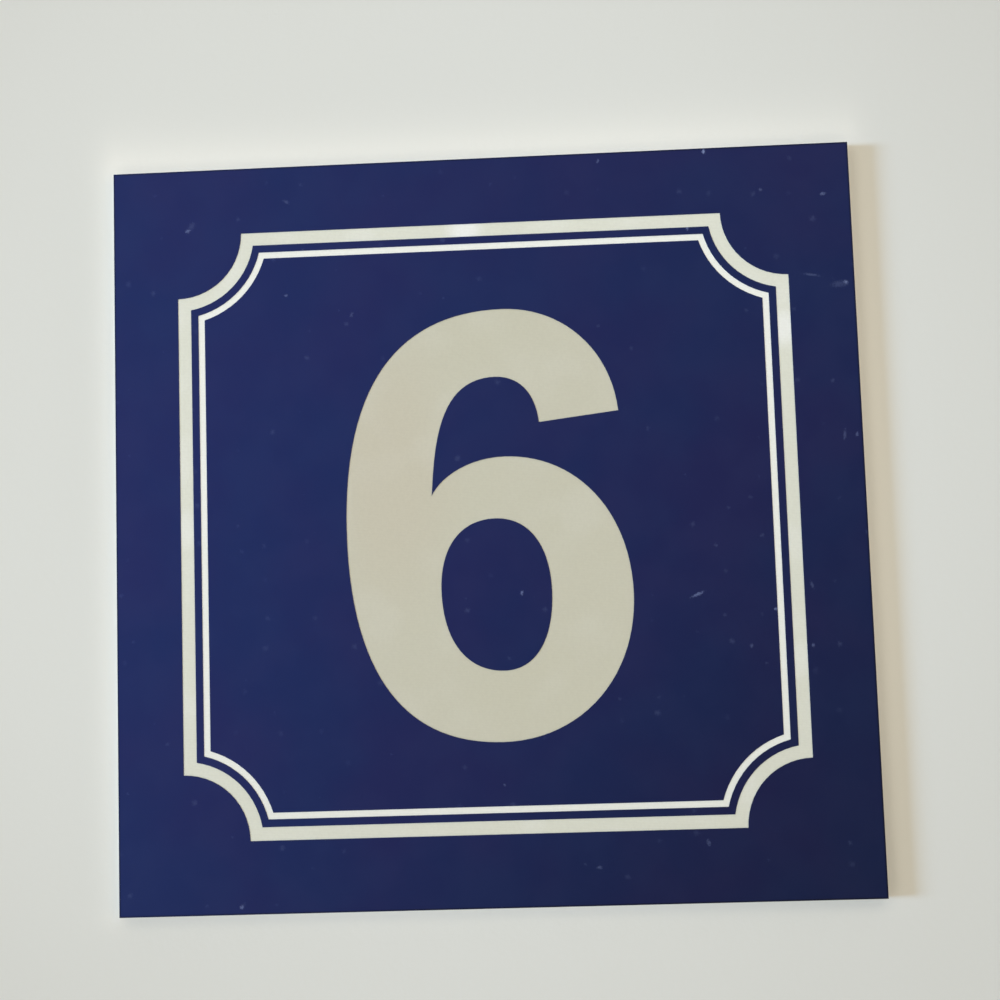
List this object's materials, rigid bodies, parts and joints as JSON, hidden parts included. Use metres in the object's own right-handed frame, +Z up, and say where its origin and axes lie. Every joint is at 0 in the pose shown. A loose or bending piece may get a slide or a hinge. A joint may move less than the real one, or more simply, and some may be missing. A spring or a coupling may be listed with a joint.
{
  "type": "house number plaque",
  "caption": "Flat square house number plaque: a light figure and border lines engraved through a dark blue surface, made to be stuck flat to a wall or door.",
  "frame": {"origin": "middle of the flat back face", "axes": "+X to the right as the plaque is read, +Y out of the back into the wall, +Z up; the readable face looks along -Y"},
  "size_m": [0.1, 0.0016, 0.1],
  "materials": {
    "off_white_core": "matt where engraved, sawn at the edges",
    "blue_surface": "satin"
  },
  "bodies": {
    "root": {"core_sheet": "off_white_core", "blue_margin": "blue_surface", "blue_strip": "blue_surface", "blue_field": "blue_surface", "blue_eye": "blue_surface"}
  },
  "joints": []
}
